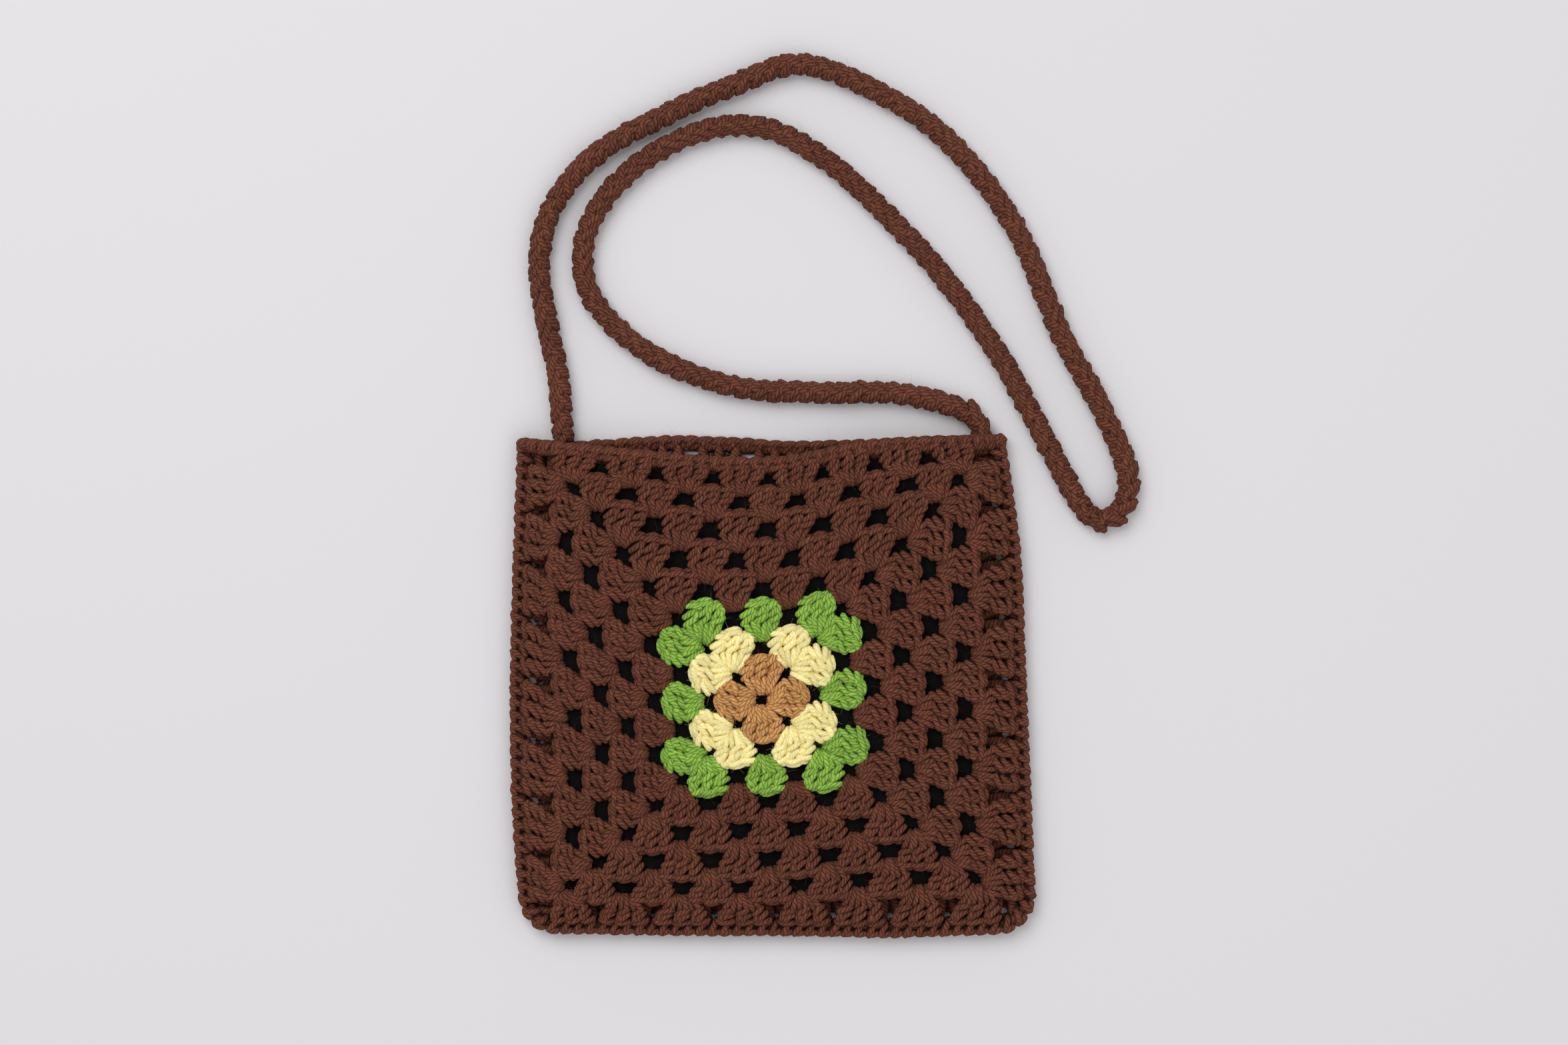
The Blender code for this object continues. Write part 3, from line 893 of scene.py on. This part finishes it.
@dataclass
class GrannySquare:
    """One crocheted wall, worked as a granny square."""

    shape: PanelShape
    layer: Layer
    strands: tuple[Strand, ...] = POST_STRANDS
    outer_shift: float = 0.0

    def stitch(self, bundle: YarnBundle, cluster: Cluster, shape: ClusterShape) -> None:
        """Adds a cluster's strands to a bundle.

        Args:
            bundle: the bundle.
            cluster: the cluster.
            shape: how it fans out.
        """
        random = bundle.random
        posts = np.array((-1.0, 0.0, 1.0))
        shift = shape.corner_shift * cluster.corner
        fans = np.stack((
            shift + posts * shape.base_spread,
            0.35 * shift + posts * shape.belly_spread,
            posts * shape.top_spread,
        ))
        low = shape.base - 0.5 * abs(shift)
        rise = shape.top - low
        lean = random.normal(0, 1, (3, 2)) * STITCH_STRAY[0]
        for strand in self.strands:
            given = np.array(strand.points)
            t = np.clip(given[:, 1], -0.1, 1.1)
            middle = curve_weights(POST_LEVELS, t) @ fans
            slope = (curve_weights(POST_LEVELS, t + SLOPE_STEP) @ fans - middle) / SLOPE_STEP
            length = np.sqrt(slope**2 + rise**2)
            squeeze = np.clip(0.72 + 0.5 * t, 0.72, 1.0)[:, None]
            jitter = random.normal(0, 1, (len(t), 3, 3)) * STITCH_STRAY
            side = given[:, :1] * squeeze + jitter[:, :, 0] + lean[:, 0]
            a = middle + side * rise / length
            h = low + rise * (t[:, None] + jitter[:, :, 1] + lean[:, 1]) - side * slope / length
            h = h - shape.dome * np.abs(posts) * np.clip(2 * t[:, None] - 0.9, 0, 1)
            z = given[:, 2:] * MILLIMETRE + jitter[:, :, 2] - OUTER_POST_DROP * np.abs(posts)
            if cluster.round == ROUNDS:
                a = a + self.outer_shift
            points = self.turned(cluster, a.T + cluster.place, h.T + cluster.round, z.T)
            radius = YARN_RADIUS * strand.thickness * random.uniform(*YARN_EVENNESS, 3)
            bundle.add(self.shape.lift(points, self.layer), radius, flat=0.94)

    def turned(self, cluster: Cluster, a: np.ndarray, h: np.ndarray, z: np.ndarray) -> np.ndarray:
        """Turns points from a side's own frame to the lattice.

        Args:
            cluster: the cluster they belong to.
            a: how far along the side.
            h: how far outwards.
            z: how far off the wall.

        Returns:
            Lattice points, in the shape of a with one more axis.
        """
        if self.layer is Layer.BACK:
            a = -a
        quarter = {Side.TOP: (a, h), Side.RIGHT: (h, -a), Side.FOOT: (-a, -h), Side.LEFT: (-h, a)}[cluster.side]
        return np.stack((*quarter, z), axis=-1)

    def build(self, name: str, members: list[Cluster], sides: int, rings: int, seed: int) -> "Crocheted":
        """Builds a piece from clusters of one yarn.

        Args:
            name: the piece's name.
            members: its clusters.
            sides, rings: how finely each strand is made.
            seed: the start of its random numbers.

        Returns:
            The crocheted piece.
        """
        bundle = YarnBundle(sides=sides, rings=rings, seed=seed)
        front = self.layer is Layer.FRONT
        for cluster in members:
            shape = SHAPES[cluster.yarn if front else Yarn.BROWN]
            self.stitch(bundle, cluster, OUTER_SHAPE if cluster.round == ROUNDS else shape)
        return Crocheted(name, bundle, members[0].yarn if front else Yarn.BROWN)


@dataclass
class Crocheted:
    """A piece of yarn work, and the loose fibres that stand off it."""

    name: str
    bundle: YarnBundle
    yarn: Yarn

    def dress(
        self, crowd: Crowd, nodes: tuple[str, ...], fibres: int = 0, reach: float = 0.0018,
    ) -> list[bpy.types.Object]:
        """Makes the piece, gives it its finish and enters it in the frame.

        Args:
            crowd: how crowded the yarn is.
            nodes: the CAD nodes it stands for.
            fibres: how many loose fibres it has.
            reach: their usual length.

        Returns:
            The pieces made.
        """
        finish = FINISHES[self.yarn]
        piece = self.bundle.made(self.name, crowd)
        piece.data.materials.append(finish.material())
        made = [enter(piece, self.yarn.value, nodes)]
        if fibres:
            hair = grow_fibres(self.bundle, fibres, reach).made(self.name + "_fuzz")
            hair.data.materials.append(finish.fuzz())
            made.append(enter(hair, self.yarn.value, nodes))
        return made


def grow_fibres(yarn: YarnBundle, count: int, reach: float) -> YarnBundle:
    """Grows loose fibres that stand off the yarn.

    Args:
        yarn: the bundle they stand off.
        count: how many.
        reach: their usual length.

    Returns:
        The fibres, as a bundle of their own.
    """
    random = np.random.default_rng(yarn.seed + FIBRE_SEED)
    vertices, normals = np.concatenate(yarn.vertices), np.concatenate(yarn.normals)
    picked = random.integers(0, len(vertices), count)
    roots, away = vertices[picked], normals[picked]
    lean = away + random.normal(0, 0.75, away.shape)
    lean /= np.linalg.norm(lean, axis=1, keepdims=True)
    bend = random.normal(0, 0.8, away.shape)
    length = reach * random.uniform(0.35, 1.5, (count, 1))
    steps = [roots - FIBRE_ROOT * away]
    for share in (0.33, 0.66, 1.0):
        steps.append(roots + length * (lean * share + bend * share * share))
    lines = np.stack(steps, axis=1)
    lines[:, :, 2] = np.maximum(lines[:, :, 2], FIBRE_LOWEST)
    made = YarnBundle(sides=3, rings=4, seed=7)
    made.add(lines, np.full(count, FIBRE_RADIUS), taper=0.5)
    return made


def follow(
    line: np.ndarray, strand: Strand, scale: tuple[float, float, float], shift: float = 0.0,
) -> np.ndarray:
    """Lays a strand once at each point of a line.

    Args:
        line: the points.
        strand: the strand, whose points count along the line, to its left and up.
        scale: how long a unit is in each of the three directions.
        shift: how far along the strand is moved, in units.

    Returns:
        Control points, one strand for each point of the line.
    """
    ahead = np.gradient(line, axis=0)
    ahead[:, 2] = 0
    ahead /= np.linalg.norm(ahead, axis=1, keepdims=True)
    left = np.stack((-ahead[:, 1], ahead[:, 0], np.zeros(len(ahead))), axis=1)
    given = np.array(strand.points)[None]
    points = line[:, None] + ahead[:, None] * ((given[:, :, :1] + shift) * scale[0])
    points = points + left[:, None] * (given[:, :, 1:2] * scale[1])
    return points + np.array((0.0, 0.0, 1.0)) * (given[:, :, 2:] * scale[2])


def edge_row(name: str, line: np.ndarray, pitch: float, strands: tuple[Strand, ...], seed: int) -> Crocheted:
    """Works a row of stitches along an edge.

    Args:
        name: the piece's name.
        line: the edge, with the outside to its left.
        pitch: the length of a stitch.
        strands: the strands of a stitch.
        seed: the start of its random numbers.

    Returns:
        The crocheted row.
    """
    bundle = YarnBundle(seed=seed)
    walked = even_points(line, pitch)
    step = np.linalg.norm(np.diff(walked, axis=0), axis=1).mean()
    for strand in strands:
        points = follow(walked, strand, (step, MILLIMETRE, MILLIMETRE))
        points = points + bundle.random.normal(0, EDGE_STRAY, points.shape)
        points[:, :, 2] = np.maximum(points[:, :, 2], YARN_RADIUS)
        bundle.add(points, YARN_RADIUS * strand.thickness * bundle.random.uniform(*YARN_EVENNESS, len(walked)))
    return Crocheted(name, bundle, Yarn.BROWN)


# Strands of the edge rows: how far along, in steps, how far outwards and how high, in millimetres.
SEAM_STRANDS = (
    Strand(((-0.30, -2.2, 6.6), (-0.18, 0.2, 8.3), (0.06, 2.4, 8.2), (0.2, 3.9, 6.4), (0.25, 4.0, 4.2))),
    Strand(((0.25, 4.0, 4.6), (0.2, 3.8, 2.4), (0.05, 2.2, 1.2), (-0.2, -1.0, 1.3))),
    Strand(((-0.62, 2.6, 6.9), (-0.25, 3.5, 7.4), (0.2, 3.7, 6.9), (0.55, 2.4, 5.6))),
    Strand(((-0.60, 2.6, 3.2), (-0.2, 3.8, 4.0), (0.2, 3.8, 4.6), (0.55, 2.8, 5.6))),
    Strand(((-0.6, 1.0, 4.4), (0.0, 1.4, 4.4), (0.6, 1.0, 4.4)), 1.9),
)
RIM_STRANDS = (
    Strand(((-0.30, -2.0, -0.6), (-0.15, -0.6, 0.9), (0.05, 0.9, 1.3), (0.2, 2.0, 0.2))),
    Strand(((-0.62, 0.4, -0.2), (-0.25, 1.2, 1.2), (0.2, 1.6, 1.3), (0.6, 0.9, -0.1))),
    Strand(((-0.60, 1.3, -1.5), (-0.2, 2.0, -0.4), (0.2, 2.1, -0.3), (0.6, 1.5, -1.4))),
    Strand(((-0.6, -0.9, -1.0), (0.0, -0.7, -1.0), (0.6, -0.9, -1.0)), 1.9),
)

# Strands of the strap, each after how far it is moved along: how far along, in steps, how far to the right and
# how high, in shares of the cord's half width.
STRAP_STRANDS = (
    (0.0, Strand((
        (0.35, 0.55, 0.5), (0.1, 0.1, 0.85), (-0.42, -0.3, 0.8), (-0.8, -0.72, 0.15), (-0.6, -0.6, -0.55),
    ), 1.25)),
    (0.0, Strand((
        (0.5, 0.35, 0.2), (0.35, -0.15, 0.62), (-0.05, -0.55, 0.62), (-0.48, -0.86, 0.1), (-0.4, -0.5, -0.6),
    ), 1.15)),
    (0.5, Strand((
        (0.35, -0.45, 0.50), (0.10, 0.05, 0.80), (-0.30, 0.45, 0.76), (-0.62, 0.80, 0.15), (-0.5, 0.60, -0.55),
    ), 1.25)),
    (0.5, Strand((
        (0.55, -0.30, 0.20), (0.40, 0.20, 0.60), (0.05, 0.62, 0.58), (-0.32, 0.88, 0.05), (-0.4, 0.50, -0.6),
    ), 1.10)),
    (0.25, Strand(((-0.6, 0.0, -0.2), (0.0, 0.0, -0.2), (0.6, 0.0, -0.2)), 2.4)),
    (0.0, Strand(((-0.5, -0.5, -0.45), (0.0, -0.2, -0.62), (0.5, 0.5, -0.45)), 1.3)),
    (0.5, Strand(((-0.5, 0.5, -0.45), (0.0, 0.2, -0.62), (0.5, -0.5, -0.45)), 1.3)),
)


@dataclass
class Edges:
    """The row that joins front and back round three sides, and the two rows of the mouth."""

    shape: PanelShape

    def side_line(self) -> np.ndarray:
        """The bag's outline from the top left corner down, along the foot and up the right side.

        Returns:
            Its points, at the height of the floor.
        """
        way = np.linspace(1, -1, EDGE_POINTS)
        ones = np.ones_like(way)
        shares = [(-ones, way), (-way[1:], -ones[1:]), (ones[1:], -way[1:])]
        flat = np.concatenate([self.shape.place(across, along) for across, along in shares])
        return np.column_stack((flat, np.zeros(len(flat))))

    def mouth_line(self, layer: Layer) -> np.ndarray:
        """The edge of the mouth, from right to left.

        Args:
            layer: the wall it belongs to.

        Returns:
            Its points, at the middle of the wall.
        """
        way = np.linspace(1, -1, EDGE_POINTS)
        lattice = np.column_stack((way * PANEL_REACH, np.full(EDGE_POINTS, PANEL_REACH), np.zeros(EDGE_POINTS)))
        line = self.shape.lift(lattice[None], layer)[0]
        return np.concatenate(([line[0] + (RIM_RUN, 0, 0)], line, [line[-1] - (RIM_RUN, 0, 0)]))

    def build(self) -> list[tuple[Crocheted, tuple[str, ...]]]:
        """Works the three rows.

        Returns:
            The rows, each with the CAD node it stands for.
        """
        rows = (
            ("seam_row", self.side_line(), 0.0052, SEAM_STRANDS, "side_seam"),
            ("front_rim_row", self.mouth_line(Layer.FRONT), 0.0056, RIM_STRANDS, "front_rim"),
            ("back_rim_row", self.mouth_line(Layer.BACK), 0.0060, RIM_STRANDS, "back_rim"),
        )
        return [
            (edge_row(name, line[::-1], pitch, strands, seed), (node,))
            for seed, (name, line, pitch, strands, node) in enumerate(rows, 31)
        ]


@dataclass
class Strap:
    """The crocheted cord."""

    route: np.ndarray
    diameter: float = STRAP_DIAMETER
    pitch: float = 0.0068
    tail: float = 0.0075
    points_per_stretch: int = 8

    def line(self) -> np.ndarray:
        """The middle line of the strap, run on at both ends to between the two rims of the mouth.

        Returns:
            Its points, close together.
        """
        stretches = len(self.route) - 1
        wanted = np.linspace(0, stretches, stretches * self.points_per_stretch + 1)
        flat = curve_weights(np.arange(stretches + 1, dtype=float), wanted) @ self.route
        first, last = flat[0] - flat[1], flat[-1] - flat[-2]
        first, last = first / np.linalg.norm(first), last / np.linalg.norm(last)
        flat = np.concatenate(([flat[0] + self.tail * first], flat, [flat[-1] + self.tail * last]))
        return np.column_stack((flat, np.full(len(flat), self.diameter / 2)))

    def lobes(self) -> Crocheted:
        """Works the cord: two columns of leaf shaped loops that meet in a zigzag line.

        Returns:
            The crocheted cord.
        """
        bundle = YarnBundle(seed=41)
        walked = even_points(self.line(), self.pitch)
        half = self.diameter / 2 - STRAP_SINK
        for shift, strand in STRAP_STRANDS:
            made = follow(walked, strand, (self.pitch, -half, half), shift)[1:-1]
            made = made + bundle.random.normal(0, STRAP_STRAY, made.shape)
            radius = YARN_RADIUS * strand.thickness * bundle.random.uniform(*YARN_EVENNESS, len(made))
            made[:, :, 2] = np.maximum(made[:, :, 2], radius[:, None])
            bundle.add(made, radius)
        return Crocheted("strap_cord", bundle, Yarn.BROWN)

    def build(self) -> None:
        line = self.line()
        cord = self.lobes()
        pieces = cord.dress(Crowd([cord.bundle]), ("strap",), fibres=2600, reach=0.0024)


@dataclass
class Lining:
    """The black cloth pocket inside the bag, one sheet folded at its foot."""

    shape: PanelShape
    wall: float = 0.0007
    columns: int = 60
    rows: int = 120
    flat: tuple[float, float] = (0.1845, 0.372)
    off_back: float = 0.0010
    off_front: float = 0.0017
    least_room: float = 0.0012
    wave: float = 0.0005

    def surface(self) -> np.ndarray:
        """The cloth's middle surface, from the front mouth down, round the fold and up the back.

        Returns:
            The points, rows x columns x 3.
        """
        inset = LINING_INSET / PANEL_HALF_WIDTH
        foot = -1 + LINING_INSET / PANEL_HALF_HEIGHT
        mouth = 1 - LINING_BELOW_RIM / PANEL_HALF_HEIGHT
        across = np.linspace(-1 + inset, 1 - inset, self.columns)
        half = self.rows // 2
        down = np.linspace(mouth, foot, half)
        along = np.concatenate((down, down[::-1]))
        grid_across, grid_along = np.meshgrid(across, along)
        flat = self.shape.place(grid_across.ravel(), grid_along.ravel()).reshape(self.rows, self.columns, 2)
        top = self.shape.underside(grid_across.ravel(), grid_along.ravel()).reshape(self.rows, self.columns)
        front = np.arange(self.rows) < half
        low = PANEL_THICKNESS + self.off_back
        fade = np.clip((1 - np.abs(grid_across) / (1 - inset)) * 8, 0, 1)
        waves = self.wave * np.sin(70 * flat[:, :, 0] + 30 * flat[:, :, 1]) * fade
        height = np.where(front[:, None], np.maximum(top - self.off_front + waves, low + self.least_room), low)
        return np.dstack((flat, height))

    def build(self) -> None:
        middle = self.surface()
        normal = np.cross(np.gradient(middle, axis=1), np.gradient(middle, axis=0))
        normal /= np.linalg.norm(normal, axis=2, keepdims=True) + 1e-12
        layers = [middle - normal * self.wall / 2, middle + normal * self.wall / 2]
        places = np.arange(self.rows * self.columns).reshape(self.rows, self.columns)
        size = places.size
        quads = np.stack((places[:-1, :-1], places[:-1, 1:], places[1:, 1:], places[1:, :-1]), axis=-1)
        quads = quads.reshape(-1, 4)
        border = np.concatenate((places[0], places[1:, -1], places[-1, -2::-1], places[-2:0:-1, 0]))
        after = np.roll(border, -1)
        edge = np.stack((border, after, after + size, border + size), axis=1)
        faces = quads[:, ::-1].tolist() + (quads + size).tolist() + edge.tolist()
        mesh = bpy.data.meshes.new("lining_cloth")
        mesh.from_pydata(np.concatenate([layer.reshape(-1, 3) for layer in layers]).tolist(), [], faces)
        mesh.shade_smooth()
        piece = bpy.data.objects.new("lining_cloth", mesh)
        bpy.context.collection.objects.link(piece)
        mesh.materials.append(ClothFinish().material())
        enter(piece, "black_cloth", ("lining",))


@dataclass
class Studio:
    """The pale floor, the soft lights and the camera of the photo."""

    middle: tuple[float, float] = (0.0048, 0.0696)
    width: float = 0.6659
    lens: float = 85.0
    level: float = 0.010

    def floor(self) -> None:
        """Lays the floor."""
        bpy.ops.mesh.primitive_plane_add(size=6.0, location=(0.0, 0.0, 0.0))
        floor = bpy.context.object
        floor.name = "floor"
        made, s, surface = new_material("floor", 0.75, 0.2)
        s.feed(surface.inputs["Base Color"], (*linear(216, 214, 217), 1.0))
        floor.data.materials.append(made)

    def lights(self) -> None:
        """Hangs two wide soft lights, the brighter one to the top left of the picture, and makes the sky."""
        placed = (("key", (-0.7, 1.1, 1.9), 1.6, 28.0), ("fill", (0.9, -0.9, 1.9), 1.8, 11.0))
        for name, where, size, power in placed:
            bpy.ops.object.light_add(type="AREA", location=where)
            light = bpy.context.object
            light.name = name
            aim = -np.array(where) + (0.0, 0.05, 0.0)
            light.rotation_euler = (
                math.atan2(math.hypot(aim[0], aim[1]), -aim[2]), 0.0, math.atan2(aim[0], -aim[1]) + math.pi,
            )
            light.data.size = size
            light.data.energy = power
        world = bpy.data.worlds.new("studio")
        world.use_nodes = True
        back = world.node_tree.nodes["Background"]
        back.inputs["Color"].default_value = (1.0, 0.99, 0.995, 1.0)
        back.inputs["Strength"].default_value = 0.56
        bpy.context.scene.world = world

    def camera(self) -> None:
        """Puts the camera straight above the bag."""
        height = self.level + self.lens / SENSOR_WIDTH * self.width
        bpy.ops.object.camera_add(location=(*self.middle, height), rotation=(0.0, 0.0, 0.0))
        camera = bpy.context.object
        camera.name = "camera"
        camera.data.lens = self.lens
        camera.data.sensor_width = SENSOR_WIDTH
        camera.data.clip_start = 0.05
        bpy.context.scene.camera = camera

    def build(self) -> None:
        """Builds the studio."""
        self.floor()
        self.lights()
        self.camera()
        bpy.context.scene.view_settings.view_transform = "Standard"
        LOG.info("studio: floor, lights and camera")


def corner_number(cluster: Cluster) -> int:
    """The number of the corner a cluster lies in.

    Args:
        cluster: a cluster beside a corner.

    Returns:
        1 top right, 2 top left, 3 foot right, 4 foot left.
    """
    ways = {
        (Side.TOP, 1): 1, (Side.RIGHT, -1): 1, (Side.TOP, -1): 2, (Side.LEFT, 1): 2,
        (Side.FOOT, -1): 3, (Side.RIGHT, 1): 3, (Side.FOOT, 1): 4, (Side.LEFT, -1): 4,
    }
    return ways[(cluster.side, cluster.corner)]


@dataclass
class Planned:
    """A crocheted piece that waits to be dressed."""

    work: Crocheted
    nodes: tuple[str, ...]
    fibres: int = 0


def plan_flower(front: GrannySquare) -> list[Planned]:
    """Works the coloured rounds in the middle of the front.

    Args:
        front: the front square.

    Returns:
        The pieces.
    """
    plan = [Planned(front.build("flower_heart", clusters(1, 1), *FLOWER_MESH, 2), ("flower_centre",), 160)]
    for number in range(1, 5):
        petals = [c for c in clusters(2, 2) if corner_number(c) == number]
        leaves = [c for c in clusters(3, 3) if c.corner and corner_number(c) == number]
        single = [c for c in clusters(3, 3) if not c.corner and c.side.value == number - 1]
        groups = (
            ("petals", petals, 10, "petal_pair", 320),
            ("leaves", leaves, 14, "leaf_pair", 90),
            ("leaf", single, 18, "leaf_single", 50),
        )
        for name, members, seed, node, fibres in groups:
            work = front.build(f"{name}_{number}", members, *FLOWER_MESH, seed + number)
            plan.append(Planned(work, (f"{node}_{number}",), fibres))
    return plan


def plan_bag(shape: PanelShape) -> list[Planned]:
    """Works the whole bag but its lining and strap.

    Args:
        shape: the shape of the panels.

    Returns:
        The pieces.
    """
    front = GrannySquare(shape, Layer.FRONT)
    back = GrannySquare(shape, Layer.BACK, BACK_STRANDS, outer_shift=0.8)
    return [
        *plan_flower(front),
        Planned(front.build("field_inner", clusters(4, 6), *FIELD_MESH, 5), ("front_field",), 2400),
        Planned(front.build("field_outer", clusters(7, 8), *FIELD_MESH, 6), ("front_field",), 2400),
        Planned(back.build("back_square", clusters(1, 8), *BACK_MESH, 8), ("back_panel",)),
        *(Planned(row, nodes, 500) for row, nodes in Edges(shape).build()),
    ]


def main() -> None:
    """Builds the purse and its studio, in order."""
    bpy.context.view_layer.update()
    shape = PanelShape()
    Strap(STRAP_ROUTE).build()
    Studio().build()
    plan = plan_bag(shape)
    crowd = Crowd([planned.work.bundle for planned in plan])
    for planned in plan:
        planned.work.dress(crowd, planned.nodes, planned.fibres)
    Lining(shape).build()


if __name__ == "__main__":
    main()
